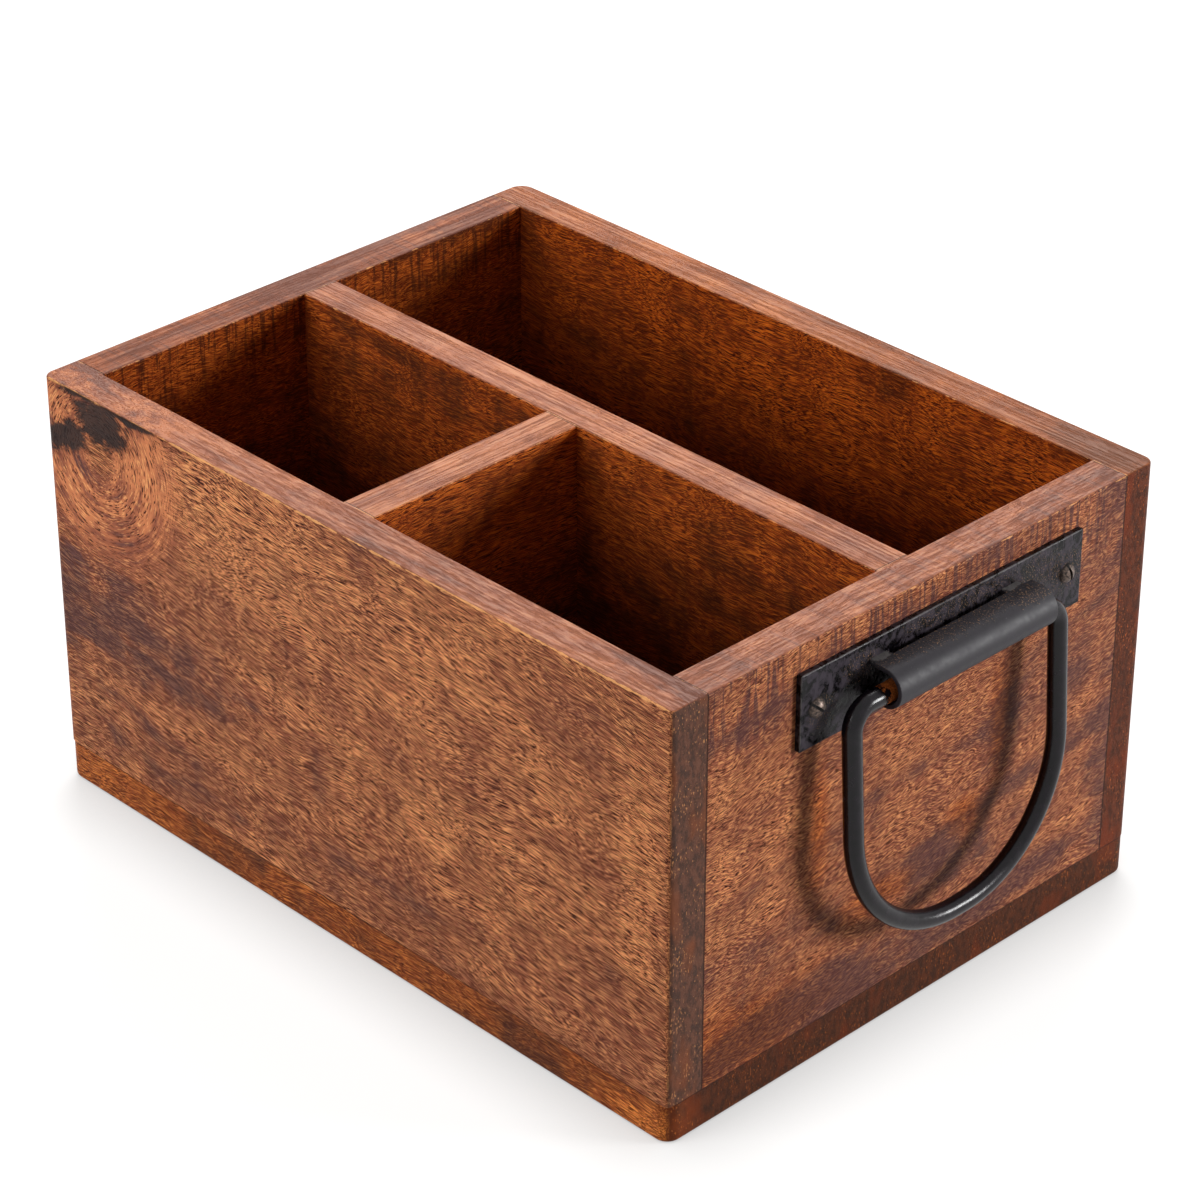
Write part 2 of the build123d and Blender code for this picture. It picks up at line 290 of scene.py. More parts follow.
wood_light = shade(224, 139, 93)
wood_middle = shade(169, 97, 69)
wood_dark = shade(106, 64, 59)
wood_smoke = shade(204, 196, 214)  # multiplies the wood's own colour
wood_pore = shade(82, 61, 62)  # the same
wood_gleam = shade(255, 180, 116)
wood_end = shade(122, 82, 66)
wood_end_warm = shade(144, 82, 52)
wood_end_dark = shade(84, 60, 52)
# the rim's colour: sanded wood, and in part a painted sheen
wood_rim_and_sheen = shade(162, 106, 80)
# worn wood, which along the top arrises is also a painted highlight
wood_worn_and_highlight = shade(255, 184, 120)
wood_dark_line = shade(48, 25, 17)
inner_shade_deep = shade(66, 40, 22)  # painted shade: multiplies the colour of an inner face near the floor
inner_shade_high = shade(232, 184, 108)  # and near the rim

# Dashes: how much finer they are than a pore, along it and across it, then detail and roughness
coarse_pores = (1, 1), 0.6, 0.5
fine_pores = (1.4, 1.8), 1, 0.5
pore_lines = (0.4, 0.5), 1, 0.4
# Patterns: size in mm along the grain, across it and up, then detail and roughness
waves = (70, 30, 30), 1, 0.5
wobbles = (12, 7, 7), 1, 0.5
tears = (16, 7, 7), 4, 0.65
rim_streaks = (34, 0.9, 0.9), 3, 0.6
bands = (110, 10, 10), 3, 0.55
clouds = (11, 45, 45), 2, 0.5
blotches = (16, 12, 12), 2, 0.6
ribbons = (46, 3, 3), 3, 0.6
smoke = (8, 18, 18), 3, 0.6
chips = (5, 5, 5), 3, 0.7
end_clouds = (1, 2.2, 4), 5, 0.65
end_warmth = (30, 12, 24), 2, 0.6
end_specks = (0.55, 0.55, 1.3), 1, 0.5
end_crowds = (9, 9, 14), 1, 0.5

# How far each pattern pushes the grain, in mm, or the tone, whose dark end is 0 and light end 1
wave_reach = (0, 13, 13)
wobble_reach = (2, 2.6, 2.6)
band_swing = 1.2
blotch_swing = 0.6
ribbon_swing = 1.3

# Steps: where a value starts and ends its change, then what it changes from and to, if not 0 and 1
rim_facing = 0.6, 0.95  # of how squarely a face looks up
end_facing = 0.55, 0.85
inner_facing = 0.6, 0.9
inner_height = 10, 150
line_width = 0.008, 0.026, 1, 0
line_breaks = 0.56, 0.46
dark_to_middle = 0, 0.5
middle_to_light = 0.4, 1
smoke_step = 0.5, 0.66, 0, 0.55
pore_step = 0.449, 0.422
fibre_step = 0.55, 0.58
cloud_step = 0.38, 0.62
warmth_step = 0.5, 0.66, 0, 0.7
speck_step = 0.65, 0.73, 0, 0.55
seam_step = 0.5, 0.15, 0, 0.85
dash_roughness = 0.35, 0.6, 0.66, 0.42
dash_relief = 0.4, 0.5

fine_share = 0.38  # of the fine pores in the pattern, beside the coarse ones
line_depth = -0.17
streak_share = 0.65
contrast_by_tone, least_contrast = 1.08, 0.23
rim_contrast_loss = -0.5
dash_height = 0.8
fibre_share = 0.75
rim_and_sheen_share = 0.4
crowding = 0.3
cloud_soft = 0.9
chip_depth = 1.5
wear_fade = 0.08, -0.04, 0
wide_wear_and_highlight = 0.4, 1  # width in mm and share of the bare wood, which on the front's top arris is also a painted highlight
slight_wear = 0.13, 0.75
wood_relief = 0.2 * mm
wood_relief_strength = 0.8


class Board(Finish):
    """Stained hardwood. grain is the axis it was cut along, seed its place in the log, pore its size."""

    def __init__(self, name, grain, seed, tone, tilt=0.0, curl=0.7, figure=0.6, pore=(5.6, 0.27)):
        super().__init__(name + "_wood")
        self.name = name
        x, y, z = self.xyz
        along, side = (x, y) if grain == "X" else (y, x)
        self.cut_face = (1, 0, 0) if grain == "X" else (0, 1, 0)
        self.cut_place = self.joined(0, side, z)
        lean = self.math("MULTIPLY_ADD", along, tilt, z)
        self.plank = self.vector("ADD", self.joined(along, side, lean), seed)
        self.top = self.ramp(self.facing((0, 0, 1)), *rim_facing)
        self.bend_grain(curl)
        self.draw_pores(pore)
        self.set_tone(tone, figure)

    def push(self, pattern, reach):
        """Moves the grain to and fro by up to half the reach."""
        swing = self.noise(self.plank, *pattern, output="Color")
        return self.scaled(self.vector("SUBTRACT", swing, (0.5, 0.5, 0.5)), reach)

    def bend_grain(self, curl):
        """Slow waves and a small wobble, for every pattern that follows the grain."""
        self.wave = self.push(waves, wave_reach)
        self.wobble = self.push(wobbles, [curl * reach for reach in wobble_reach])
        self.bent = self.vector("ADD", self.vector("ADD", self.plank, self.wave), self.wobble)
        self.torn = self.math("SUBTRACT", self.noise(self.bent, *tears), 0.5)

    def dashes(self, pore, finer, detail, roughness):
        length, width = pore[0] / finer[0], pore[1] / finer[1]
        return self.noise(self.bent, (length, width, width), detail, roughness)

    def draw_pores(self, pore):
        """Dark dashes along the grain. The rim is cut on the quarter, where they run in streaks."""
        coarse = self.dashes(pore, *coarse_pores)
        fine = self.dashes(pore, *fine_pores)
        dash = self.math("MULTIPLY_ADD", fine, fine_share, self.math("MULTIPLY", coarse, 1 - fine_share))
        off_line = self.math("ABSOLUTE", self.math("SUBTRACT", self.dashes(pore, *pore_lines), 0.5))
        line = self.ramp(off_line, *line_width)
        line = self.math("MULTIPLY", line, self.ramp(fine, *line_breaks))
        dash = self.math("MULTIPLY_ADD", line, line_depth, dash)
        streak = self.math("MULTIPLY", self.noise(self.plank, *rim_streaks), streak_share)
        self.dash = self.blend(self.top, dash, self.math("MULTIPLY_ADD", dash, 1 - streak_share, streak))

    def set_tone(self, tone, figure):
        """Bands along the grain, cloudy figure across it, and ribbons on the rim."""
        self.blotch = self.noise(self.plank, *blotches)
        level = self.swayed(tone, self.noise(self.bent, *bands), band_swing)
        level = self.swayed(level, self.noise(self.plank, *clouds), figure)
        level = self.swayed(level, self.blotch, blotch_swing)
        ribbon = self.math("SUBTRACT", self.noise(self.plank, *ribbons), 0.5)
        self.level = self.math("MULTIPLY_ADD", self.math("MULTIPLY", ribbon, self.top), ribbon_swing, level)

    def add_clouds(self, places):
        """Soft light and dark places. Each has a middle, a reach, a lean and a strength."""
        for middle, reach, turn, amount in places:
            spot = self.patch(middle, reach, turn, self.torn, cloud_soft)
            self.level = self.math("MULTIPLY_ADD", spot, amount, self.level)

    def color_wood(self, end_stain=white):
        """Gives the tone its colours, with dark pores and bright fibres, and the end grain its own."""
        level = self.math("MINIMUM", self.math("MAXIMUM", self.level, 0.0), 1.0)
        color = self.mix(self.ramp(level, *dark_to_middle), wood_dark, wood_middle)
        color = self.mix(self.ramp(level, *middle_to_light), color, wood_light)
        smoky = self.ramp(self.noise(self.plank, *smoke), *smoke_step)
        color = self.mix(smoky, color, wood_smoke, "MULTIPLY")
        contrast = self.math("MULTIPLY_ADD", level, contrast_by_tone, least_contrast)
        flat = self.math("MULTIPLY_ADD", self.top, rim_contrast_loss, 1.0)
        contrast = self.math("MULTIPLY", contrast, flat)
        pore = self.math("MULTIPLY", self.ramp(self.dash, *pore_step), contrast)
        color = self.mix(pore, color, wood_pore, "MULTIPLY")
        fibre = self.math("MULTIPLY", self.ramp(self.dash, *fibre_step), contrast)
        color = self.mix(self.math("MULTIPLY", fibre, fibre_share), color, wood_gleam)
        is_end = self.ramp(self.math("ABSOLUTE", self.facing(self.cut_face)), *end_facing)
        self.color = self.mix(is_end, color, self.end_grain(end_stain))

    def end_grain(self, tint):
        """End grain soaks up more stain. Its cut pores show as specks."""
        cloud = self.ramp(self.noise(self.cut_place, *end_clouds), *cloud_step)
        color = self.mix(cloud, wood_end_dark, wood_end)
        warm = self.ramp(self.noise(self.place, *end_warmth), *warmth_step)
        color = self.mix(warm, color, wood_end_warm)
        specks = self.noise(self.place, *end_specks)
        specks = self.swayed(specks, self.noise(self.place, *end_crowds), crowding)
        color = self.mix(self.ramp(specks, *speck_step), color, wood_gleam)
        return self.mix(1.0, color, tint, "MULTIPLY")

    def shade_inside(self, inwards, both_faces=False):
        """The rim is paler: sanded wood, and in part a painted sheen. The inner faces get painted shade,
        darker and redder towards the floor.
        """
        # Paler rim: sanded wood, and in part a painted sheen
        color = self.mix(self.math("MULTIPLY", self.top, rim_and_sheen_share), self.color, wood_rim_and_sheen)
        facing = self.facing(inwards)
        if both_faces:
            facing = self.math("ABSOLUTE", facing)
        # Painted shade: the inner faces grow darker and redder towards the floor
        tint = self.mix(self.ramp(self.xyz[2], *inner_height), inner_shade_deep, inner_shade_high)
        self.color = self.mix(self.ramp(facing, *inner_facing), color, tint, "MULTIPLY")

    def tint(self, tint, middle=None, reach=None):
        """A tint multiplies the wood's colour, in one soft patch or else all over. Real stains use it, and
        so does the bail's painted shadow.
        """
        spot = 1.0 if middle is None else self.patch(middle, reach, 0.0, self.torn, cloud_soft)
        self.color = self.mix(spot, self.color, tint, "MULTIPLY")

    def wear_and_highlight_edges(self, edges, wear=slight_wear):
        """Pale wood on edges that hands and other things have rubbed. Along the top arrises it is also a
        painted highlight.
        """
        width, share = wear
        past = self.math("SUBTRACT", self.nearest_edge(self.name, edges), self.chipped(width, chip_depth))
        self.color = self.mix(self.ramp(past, *wear_fade, share), self.color, wood_worn_and_highlight)

    def chipped(self, width, depth):
        """A width in mm, made uneven by chips."""
        return self.swayed(width, self.noise(self.place, *chips), depth)

    def draw_seams(self, *edges):
        """Dark lines where this board meets its neighbours."""
        line = self.ramp(self.nearest_edge(self.name, edges), *seam_step)
        self.color = self.mix(line, self.color, wood_dark_line)

    def finish(self, specular=0.1):
        roughness = self.ramp(self.dash, *dash_roughness)
        relief = self.math("MULTIPLY_ADD", self.dash, dash_height, self.ramp(self.dash, *dash_relief))
        self.set_surface(self.color, roughness, specular, relief, wood_relief, wood_relief_strength)
        dress(self.name, self.material)


# These three multiply the wood's own colour
base_stain = shade(255, 226, 168)
base_end_stain = shade(204, 180, 170)
corner_stain = (1.6, 1.75, 1.8, 1)
corner_middle, corner_reach = (143, -100, 7), (60, 11, 16)
board = Board("base_board", "X", (0, 310, 40), tone=0.47, pore=(6, 0.27))
board.add_clouds([
    ((82, -106, 7), (44, 60, 14), 0, -0.45),
    ((-70, -106, 7), (24, 60, 14), 0, -0.25),
])
board.color_wood(base_end_stain)
board.tint(base_stain)
board.tint(corner_stain, corner_middle, corner_reach)
board.wear_and_highlight_edges(["y- z-", "x+ z-"])
board.draw_seams("y- z+", "x+ z+")
board.finish()

# Front board
# The long side that the photo shows, of the same hardwood, dowelled and glued to the end boards.
# A black knot sits in its upper left corner, with rings in the grain below it.
knot_black = shade(20, 13, 13)
knot_brown = shade(50, 34, 30)
knot_halo = shade(176, 158, 160)  # multiplies the wood's own colour
knot_middle = (-115, 0, 132)
# Middle, reach and lean of the black patch's parts
knot_spots = [
    ((-114, -106, 145), (17, 60, 10.5), 0),
    ((-132, -106, 134), (17, 60, 6.5), 24),
    ((-99, -106, 152.5), (19, 60, 3.6), 0),
    ((-124, -106, 153), (16, 60, 3.6), 0),
]
knot_tears, knot_tear_depth = ((6, 3, 3), 4, 0.65), 1.5
knot_soft, knot_share = 0.42, 0.94
halo_soft, halo_spread = 0.8, 1.5
knot_facing = 0.3, 0.8
knot_brown_step = 0.3, 0.7
ring_turn = 24  # mm of grain for each radian round the knot
ring_wave = (0, 0, 0.3)  # share of the grain's slow waves that the rings follow
rings_begin, rings_end = (2, 12), (24, 50, 1, 0)  # mm from the knot's middle
ring_dashes = (3.2, 0.5, 0.5), 1, 0.5
ring_dash_share, ring_dash_base = 0.5, 0.25
rings, ring_swing = ((40, 2.4, 2.4), 1, 0.5), 2.1
tear_depth = 2.4
tear_pale_step = 0.5, 0.2, 0, 0.3
tear_dark_step = 0.25, -0.05, 0, 0.85


def draw_rings(board):
    """Grain and tone run in rings round the knot."""
    x, y, z = board.xyz
    around = board.vector("SUBTRACT", board.joined(x, 0, z), knot_middle)
    around = board.vector("ADD", around, board.scaled(board.wave, ring_wave))
    x, _, z = board.parts(around)
    away = board.vector("LENGTH", around)
    turned = board.math("MULTIPLY", board.math("ARCTAN2", z, x), ring_turn)
    place = board.vector("ADD", board.joined(turned, y, away), board.wobble)
    near = board.math("MULTIPLY", board.ramp(away, *rings_end), board.ramp(away, *rings_begin))
    dash = board.math("MULTIPLY_ADD", board.noise(place, *ring_dashes), ring_dash_share, ring_dash_base)
    board.dash = board.blend(near, board.dash, dash)
    ring = board.math("SUBTRACT", board.noise(place, *rings), 0.5)
    board.level = board.math("MULTIPLY_ADD", board.math("MULTIPLY", ring, near), ring_swing, board.level)


def tear_edge(board, edge):
    """A splintered edge: pale chips, and a dark line along the corner."""
    gap = board.chipped(board.nearest_edge(board.name, [edge]), tear_depth)
    color = board.mix(board.ramp(gap, *tear_pale_step), board.color, wood_worn_and_highlight)
    board.color = board.mix(board.ramp(gap, *tear_dark_step), color, wood_dark_line)


def knot_patch(board, ragged, spread, soft):
    """1 on the black patch's parts, 0 away from them."""
    share = 0.0
    for middle, reach, turn in knot_spots:
        spot = board.patch(middle, [spread * r for r in reach], turn, ragged, soft)
        share = board.math("MAXIMUM", share, spot)
    outer = board.ramp(board.facing((0, -1, 0)), *knot_facing)
    return board.math("MULTIPLY", share, outer)


def blacken_knot(board):
    """The black patch on the board's outer face, brown in places, with a dim halo round it."""
    ragged = board.swayed(0.0, board.noise(board.bent, *knot_tears), knot_tear_depth)
    halo = knot_patch(board, ragged, halo_spread, halo_soft)
    color = board.mix(halo, board.color, knot_halo, "MULTIPLY")
    char = board.mix(board.ramp(board.blotch, *knot_brown_step), knot_black, knot_brown)
    black = board.math("MULTIPLY", knot_patch(board, ragged, 1, knot_soft), knot_share)
    board.color = board.mix(black, color, char)


board = Board("front_board", "X", (0, 0, 0), tone=0.65, tilt=0.09, curl=0.5)
draw_rings(board)
board.add_clouds([
    ((-66, -106, 136), (84, 60, 34), -8, 0.42),
    ((-125, -106, 108), (18, 60, 7), 10, 0.4),
    ((-122, -106, 76), (104, 60, 36), -3, -0.5),
    ((-138, -106, 60), (18, 60, 56), 0, -0.25),
    ((-80, -106, 62), (66, 60, 16), -4, -0.2),
    ((-100, -106, 30), (78, 60, 18), 0, -0.35),
    ((-12, -106, 60), (8, 60, 20), 4, -0.35),
    ((23, -106, 64), (6, 60, 16), 0, -0.35),
    ((58, -106, 62), (6, 60, 12), 0, -0.25),
    ((10, -106, 30), (76, 60, 12), 0, -0.38),
    ((12, -106, 145), (12, 60, 9), 0, -0.25),
    ((104, -106, 126), (34, 60, 16), -6, -0.42),
    ((72, -106, 136), (13, 60, 13), 0, -0.25),
    ((45, -106, 70), (30, 60, 20), 0, 0.25),
    ((90, -106, 60), (28, 60, 16), 0, 0.2),
    ((130, -106, 86), (11, 60, 60), 0, 0.34),
    ((88, -106, 104), (13, 60, 5), -40, 0.45),
    ((93, -106, 94), (11, 60, 5), 50, 0.35),
    ((-128, -92, 152), (30, 11, 8), 0, -0.75),
    ((0, -98, 152), (220, 24, 8), 0, -0.2),
    ((136, -92, 154), (56, 13, 8), 0, -0.8),
])
board.color_wood()
board.shade_inside((0, 1, 0))
# The front's top arris: worn wood and a painted highlight
board.wear_and_highlight_edges(["y- z+"], wide_wear_and_highlight)
board.wear_and_highlight_edges(["y+ z+", "x- y-"])
tear_edge(board, "x+ y-")
board.draw_seams("x+ y+")
blacken_knot(board)
board.finish()

# Back board
# The long side that faces away, cut like the front board and joined to the end boards in the same
# way, without a knot.
back_stain = shade(252, 240, 204)  # multiplies the wood's own colour
back_end_stain = shade(232, 186, 168)  # the same
board = Board("back_board", "X", (470, 60, 190), tone=0.5, figure=1.0)
board.add_clouds([((128, 98, 154), (30, 16, 10), 0, -0.6)])
board.color_wood(back_end_stain)
board.shade_inside((0, -1, 0))
board.tint(back_stain)
board.wear_and_highlight_edges(["y- z+", "y+ z+"])
board.draw_seams("x+ y-", "x- y-")
board.finish()

# End boards
# The two short sides, of the same wood with its grain across the box, held between the long sides by
# dowels and glue. Stain ran down them from the rim. The right one carries a warm painted shadow of
# its bail.
drips = (30, 1.9, 30), 3, 0.65
drip_step = 0.5, 0.6
drip_end = 12, 34, 1, 0  # mm below the rim where the runs thin out
drip_swing = 60
drip_depth, drip_loss_on_rim = -0.5, 0.25
bail_shadow_tint = (1.0, 0.74, 0.42, 1)  # painted shadow of the bail: multiplies the wood's own colour
# Middle and reach of each part of the bail's painted shadow
bail_shadow_places = [
    ((143, 37.5, 86), (60, 9, 36)),
    ((143, 24, 60), (60, 14, 12)),
    ((143, -44, 86), (60, 7, 34)),
    ((143, -18, 48), (60, 26, 9)),
    ((143, -78, 24), (60, 60, 26)),
]


def run_drips(board):
    """Dark runs of stain below the rim."""
    drip = board.noise(board.place, *drips)
    fall = board.swayed(board.face_gap(board.name, "z+"), drip, drip_swing)
    share = board.math("MULTIPLY", board.ramp(drip, *drip_step), board.ramp(fall, *drip_end))
    depth = board.math("MULTIPLY_ADD", board.top, drip_loss_on_rim, drip_depth)
    board.level = board.math("MULTIPLY_ADD", share, depth, board.level)


board = Board("left_end_board", "Y", (130, 520, 30), tone=0.4, curl=1.3, pore=(4, 0.27))
board.add_clouds([
    ((-143, 20, 154), (40, 60, 14), 0, -0.35),
    ((-143, 74, 154), (40, 34, 12), 0, -0.5),
])
run_drips(board)
board.color_wood()
board.shade_inside((1, 0, 0))
board.wear_and_highlight_edges(["x- z+", "x+ z+"])
board.draw_seams("x- y-", "x- y+", "y- z+", "y+ z+")
board.finish(specular=0.05)

board = Board("right_end_board", "Y", (-340, 90, 610), tone=0.34, tilt=-0.1, curl=1.3, pore=(2.8, 0.31))
board.add_clouds([
    ((143, -84, 90), (60, 11, 70), 0, 0.2),
    ((143, 0, 84), (60, 34, 40), 0, 0.1),
    # These two darken the wood where the bail's shadow falls: painted shadow
    ((143, 14, 48), (60, 30, 16), 0, -0.35),
    ((143, 38, 80), (60, 12, 40), 0, -0.3),
    ((143, 66, 60), (60, 12, 30), 0, -0.06),
    ((143, 80, 100), (60, 26, 60), 0, -0.14),
    ((143, 88, 40), (60, 16, 50), 0, -0.3),
    ((143, 86, 142), (60, 20, 26), 0, -0.3),
    ((143, -64, 108), (60, 18, 30), 0, 0.25),
    ((143, -10, 20), (60, 120, 16), 0, -0.3),
    ((143, -60, 30), (60, 40, 14), 0, -0.15),
    ((134, 10, 152), (14, 150, 6), 0, 0.3),
])
run_drips(board)
board.color_wood()
board.shade_inside((-1, 0, 0))
# The bail's painted shadow, warm brown on the wood
for middle, reach in bail_shadow_places:
    board.tint(bail_shadow_tint, middle, reach)
board.wear_and_highlight_edges(["x- z+", "x+ z+"])
board.draw_seams("x+ y-", "x+ y+", "y- z+", "y+ z+")
board.finish()

# Dividers
# One board down the middle from end to end, and a short one from it to the front board, both
# dowelled and glued before the base went on. Their top edges are sanded level with the rim.
board = Board("long_divider", "X", (800, -400, 20), tone=0.36, figure=1.0)
board.add_clouds([((0, 0, 152), (260, 30, 5), 0, 0.4)])
board.color_wood()
board.shade_inside((0, 1, 0), both_faces=True)
board.wear_and_highlight_edges(["y- z+", "y+ z+"])
board.draw_seams("x- z+", "x+ z+")
board.finish()

board = Board("cross_divider", "Y", (610, 900, -70), tone=0.5)
board.add_clouds([((0, 0, 152), (260, 160, 5), 0, 0.25)])
board.color_wood()
board.shade_inside((1, 0, 0), both_faces=True)
board.wear_and_highlight_edges(["x- z+", "x+ z+"])
board.draw_seams("y- z+", "y+ z+")
board.finish()

# Dowels
# Turned pegs of pale beech, three to a joint, glued into both boards of each butt joint, out of
# sight. They took no stain.
beech_dark = shade(196, 160, 116)
beech_light = shade(224, 194, 150)
beech_flecks = (0.8, 0.8, 3), 2, 0.5
wires = Finish("dowel_beech")
fleck = wires.noise(wires.place, *beech_flecks)
wires.feed(wires.mix(fleck, beech_dark, beech_light), wires.shader.inputs["Base Color"])
wires.shader.inputs["Roughness"].default_value = 0.7
for joint in ("front_left", "front_right", "back_left", "back_right",
              "divider_left", "divider_right", "cross_front", "cross_back"):
    dress(joint + "_dowels", wires.material)

# Base screws
# Countersunk wood screws, plated with zinc, driven up through the base board into each upright
# board, so that they show only from underneath.
zinc_dark = shade(120, 118, 110)
zinc_light = shade(190, 188, 178)
zinc_clouds = (1.5, 1.5, 1.5), 3, 0.6
wires = Finish("zinc_plating")
wires.shader.inputs["Metallic"].default_value = 1.0
cloud = wires.noise(wires.place, *zinc_clouds)
wires.feed(wires.mix(cloud, zinc_dark, zinc_light), wires.shader.inputs["Base Color"])
wires.shader.inputs["Roughness"].default_value = 0.38
for row in ("front", "back", "left", "right", "long_divider", "cross_divider"):
    dress("base_screws_" + row, wires.material)

# Handle plates
# A flat strip of sheet iron on each end board, slotted for the sleeve's tabs and held by two screws.
# Its black paint lies in runs and is dusty in places. Along the edges it shows pale bare iron: worn, and in
# part a painted highlight.
# Bare iron: worn spots and scratches, painted highlights on the plate's edges and painted glints on the
# sleeve's tabs
bare_iron_and_glint = shade(120, 118, 120)
paint_dust = shade(164, 126, 92)
plate_tones = shade(4, 3, 5), shade(60, 54, 62)
# Middle and reach of each dusty place. They count on both ends of the box.
plate_dusty = [
    ((145, 62.5, 131), (8, 10, 8)),
    ((145, -46, 127), (8, 7, 7)),
    ((145, 12, 140), (8, 30, 4)),
    ((145, 48, 136), (8, 12, 8)),
    ((145, -30, 136), (8, 9, 6)),
]
grime = (2.6, 2.6, 2.6), 5, 0.68
grit = (0.5, 0.5, 0.5), 2, 0.6
paint_runs, run_curl = ((4, 4, 5), 4, 0.6), 1.0
nicks = (0.8, 0.8, 1.3), 2, 0.5
tone_step = 0.35, 0.68
roughness_step = 0.35, 0.7
dust_step, dust_share = (0.6, 0.66), 0.75
dust_ragged, dust_fade = 1.4, (0.5, 1.1)
dust_roughness, dust_height = 0.16, 1.2
edge_wear_and_highlight, edge_ragged = 0.32, 1.4
edge_step = 0.1, -0.1, 0, 0.55
nick_step = 0.76, 0.79, 0, 0.6
grime_height = 0.3
paint_relief = 0.4 * mm
paint_relief_strength = 0.6


class Paint(Finish):
    """Satin black on iron. runs says how much the paint lies in runs."""

    def __init__(self, name, tones, roughness, runs=0.0):
        super().__init__(name + "_paint")
        self.name = name
        x, y, z = self.xyz
        self.either_end = self.joined(self.math("ABSOLUTE", x), y, z)
        self.grime = self.noise(self.place, *grime)
        self.grit = self.noise(self.place, *grit)
        thick = self.noise(self.place, *paint_runs, distortion=run_curl)
        mottle = self.swayed(self.grime, thick, runs)
        self.color = self.mix(self.ramp(mottle, *tone_step), *tones)
        self.roughness = self.ramp(mottle, *roughness_step, *roughness)
        self.height = self.math("MULTIPLY_ADD", thick, runs, self.math("MULTIPLY", self.grime, grime_height))

    def spot(self, middle, reach, ragged, fade, share=1.0):
        """A ragged patch, alike on both ends, that fades out between two shares of its reach."""
        off = self.vector("DIVIDE", self.vector("SUBTRACT", self.either_end, middle), reach)
        away = self.swayed(self.vector("LENGTH", off), self.grime, ragged)
        return self.ramp(away, *fade, share, 0.0)

    def add_dust(self, middle, reach):
        spot = self.spot(middle, reach, dust_ragged, dust_fade)
        dust = self.math("MULTIPLY", self.ramp(self.grit, *dust_step), spot)
        self.color = self.mix(self.math("MULTIPLY", dust, dust_share), self.color, paint_dust)
        self.roughness = self.math("MULTIPLY_ADD", spot, dust_roughness, self.roughness)
        grains = self.math("MULTIPLY", self.grit, spot)
        self.height = self.math("MULTIPLY_ADD", grains, dust_height, self.height)

    def wear_and_highlight_edges(self, edges):
        # Pale bare iron along the edges: worn paint and, in part, a painted highlight
        width = self.swayed(edge_wear_and_highlight, self.grime, edge_ragged)
        past = self.math("SUBTRACT", self.nearest_edge(self.name, edges), width)
        self.color = self.mix(self.ramp(past, *edge_step), self.color, bare_iron_and_glint)

    def finish(self, specular):
        nick = self.ramp(self.noise(self.place, *nicks), *nick_step)
        color = self.mix(nick, self.color, bare_iron_and_glint)
        self.set_surface(color, self.roughness, specular, self.height, paint_relief, paint_relief_strength)
        dress(self.name, self.material)


for side, face in (("right", "x+"), ("left", "x-")):
    paint = Paint(side + "_handle_plate", plate_tones, roughness=(0.2, 0.5), runs=1.1)
    for middle, reach in plate_dusty:
        paint.add_dust(middle, reach)
    paint.wear_and_highlight_edges([face + " z+", face + " y-", face + " y+"])
    paint.finish(specular=0.13)

# Handle sleeves
# Sheet iron rolled round the bail's rod, with four tabs that go through the plate and are riveted
# flush behind it. Dust lies along the top of the roll, and the upper tabs carry a painted glint of bare
# iron.
sleeve_tones = shade(25, 22, 28), shade(36, 32, 39)
sleeve_dusty = [((149, 8, 137), (6, 48, 2.8)), ((152, 36, 136), (5, 12, 3.5))]
tab_middles = [(145.6, -22.7, 136.7), (145.6, 35.5, 136.7)]
tab_reach = (2.6, 4.2, 2.0)
tab_ragged, tab_fade, tab_share = 1.6, (0.7, 0.9), 0.8
for side in ("right", "left"):
    paint = Paint(side + "_handle_sleeve", sleeve_tones, roughness=(0.5, 0.6))
    for middle, reach in sleeve_dusty:
        paint.add_dust(middle, reach)
    for middle in tab_middles:
        # A painted glint on the top face of each upper tab
        tab_glint = paint.spot(middle, tab_reach, tab_ragged, tab_fade, tab_share)
        paint.color = paint.mix(tab_glint, paint.color, bare_iron_and_glint)
    paint.finish(specular=0.35)

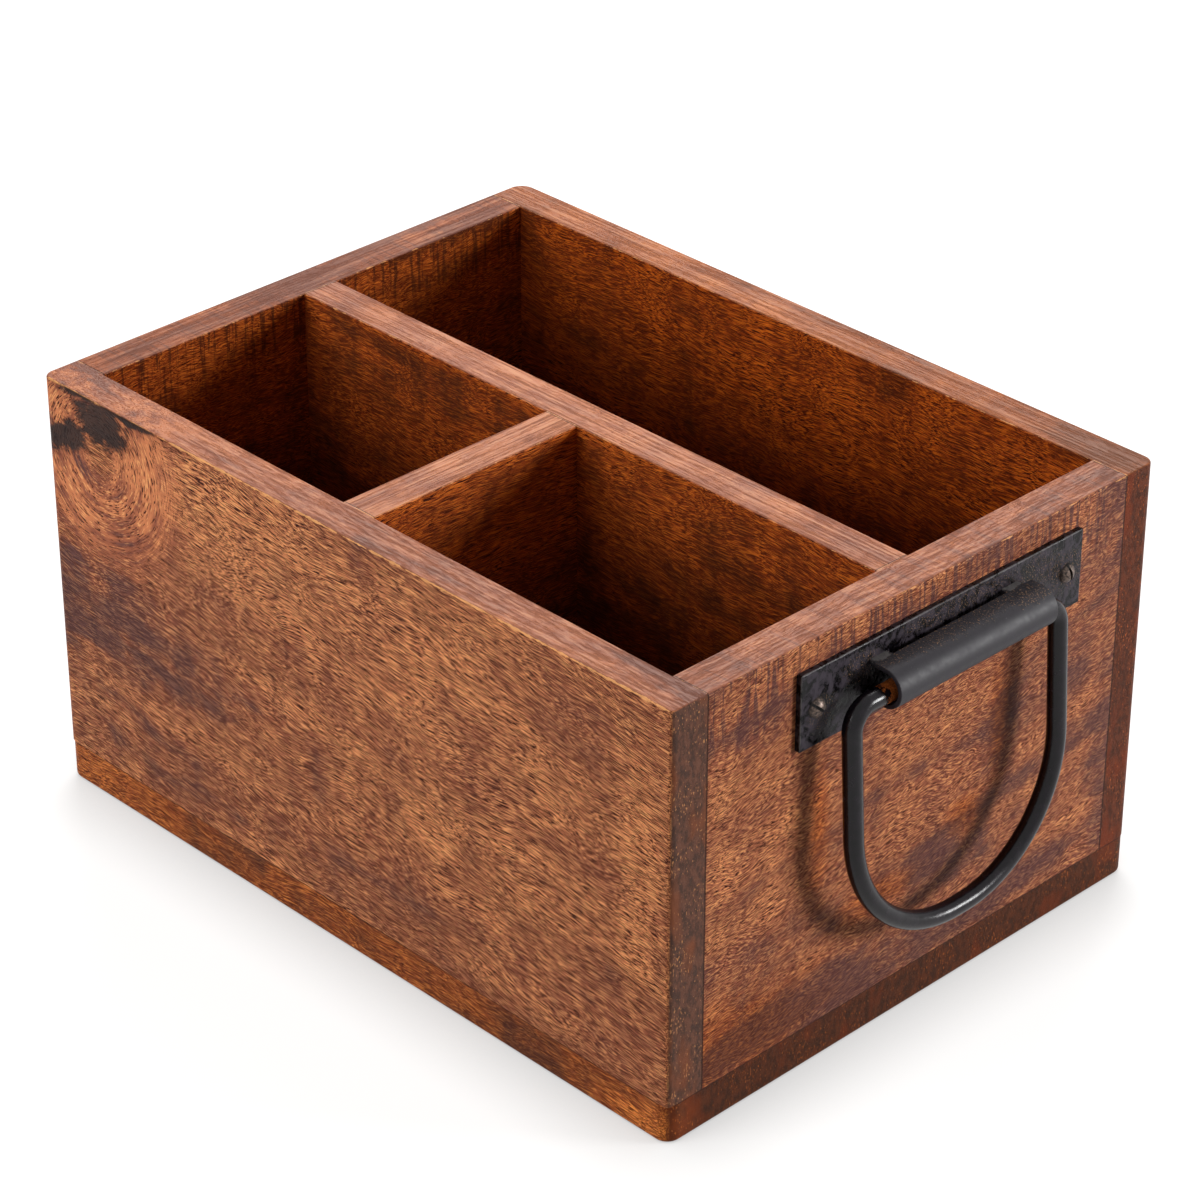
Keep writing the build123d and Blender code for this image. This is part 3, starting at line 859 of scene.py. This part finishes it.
# Bails
# One iron rod, bent into a D whose two ends meet inside the sleeve, where it swings. It is rusty
# in the sleeve's mouth and scratched on its bends, through the same black paint.
bail_tones = shade(6, 3, 8), shade(24, 17, 26)
rust_dark = shade(150, 76, 34)
rust_light = shade(214, 124, 62)
rust_middle, rust_reach = (151.6, -18, 128.1), (9, 12.5, 9)
bail_scratched = [((153, 61, 68), (9, 8, 12)), ((152, 44, 33), (12, 12, 10))]
rust_ragged, rust_fade = 0.9, (0.86, 0.93)
rust_step, rust_roughness = (0.3, 0.7), 0.3
scratches, scratch_step = ((0.5, 0.5, 5), 2, 0.5), (0.6, 0.64)
scratch_ragged, scratch_fade = 1.0, (0.6, 1.0)
for side in ("right", "left"):
    paint = Paint(side + "_bail", bail_tones, roughness=(0.17, 0.28))
    rusty = paint.spot(rust_middle, rust_reach, rust_ragged, rust_fade)
    rust = paint.mix(paint.ramp(paint.grit, *rust_step), rust_dark, rust_light)
    paint.color = paint.mix(rusty, paint.color, rust)
    paint.roughness = paint.math("MULTIPLY_ADD", rusty, rust_roughness, paint.roughness)
    for middle, reach in bail_scratched:
        spot = paint.spot(middle, reach, scratch_ragged, scratch_fade)
        lines = paint.ramp(paint.noise(paint.place, *scratches), *scratch_step)
        paint.color = paint.mix(paint.math("MULTIPLY", lines, spot), paint.color, bare_iron_and_glint)
    paint.finish(specular=0.26)

# Plate screws
# Slotted round-head steel screws that hold each plate to its end board, dulled with age, with
# painted shade in the slot and round the foot of the head.
steel_dark = shade(38, 32, 30)
steel_light = shade(112, 95, 85)
# Painted shade in the slot and round the foot of the head
slot_painted_shade = shade(9, 7, 7)
screw_rim_shade = shade(22, 15, 12)
steel_clouds, steel_step = ((0.7, 0.7, 0.7), 3, 0.6), (0.35, 0.65)
head_radius = 3.3
head_reach = 6, 7, 1, 0  # mm from a head's middle where its slot ends
slot_step = 0.5, 0.35  # mm from the slot's middle line
slot_angles = (-42.0, -82.0)
rim_shade_step = 145.8, 145.2, 0, 0.8  # mm from the box's middle, down the head to the plate
for side in ("right", "left"):
    wires = Finish(side + "_aged_steel")
    wires.shader.inputs["Metallic"].default_value = 0.6
    wires.shader.inputs["Roughness"].default_value = 0.42
    low, high = ([c / mm for c in corner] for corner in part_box(side + "_plate_screws"))
    middle_z = (low[2] + high[2]) / 2
    cloud = wires.ramp(wires.noise(wires.place, *steel_clouds), *steel_step)
    steel = wires.mix(cloud, steel_dark, steel_light)
    x, y, z = wires.xyz
    for middle_y, angle in zip((low[1] + head_radius, high[1] - head_radius), slot_angles):
        across_y, across_z = -math.sin(math.radians(angle)), math.cos(math.radians(angle))
        away = wires.math("SUBTRACT", y, middle_y)
        off = wires.math("MULTIPLY", away, across_y)
        off = wires.math("MULTIPLY_ADD", wires.math("SUBTRACT", z, middle_z), across_z, off)
        near = wires.ramp(wires.math("ABSOLUTE", away), *head_reach)
        slot = wires.ramp(wires.math("ABSOLUTE", off), *slot_step)
        steel = wires.mix(wires.math("MULTIPLY", slot, near), steel, slot_painted_shade)
    rim_shade = wires.ramp(wires.math("ABSOLUTE", x), *rim_shade_step)
    wires.feed(wires.mix(rim_shade, steel, screw_rim_shade), wires.shader.inputs["Base Color"])
    dress(side + "_plate_screws", wires.material)
